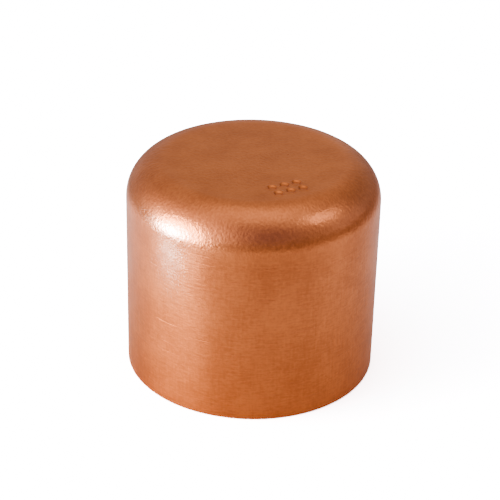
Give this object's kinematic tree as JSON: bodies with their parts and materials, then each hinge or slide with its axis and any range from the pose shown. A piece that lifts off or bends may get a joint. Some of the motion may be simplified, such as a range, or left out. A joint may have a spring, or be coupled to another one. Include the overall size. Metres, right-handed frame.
{
  "type": "pipe cap",
  "caption": "Seamless drawn copper end cap: a straight round socket closed by a flat end with a large rounded shoulder, for soldering over the end of a tube.",
  "frame": {"origin": "centre of the open mouth's rim plane, on the cap's axis", "axes": "+Z along the axis, from the open mouth to the closed end; -Y is the front, and the punched mark on the closed end lies to the front and right"},
  "size_m": [0.0308, 0.0306, 0.0269],
  "materials": {
    "copper": "satin drawn copper, finely brushed round the side and lightly orange-peeled on the shoulder"
  },
  "bodies": {
    "root": {"cap": "copper"}
  },
  "joints": []
}
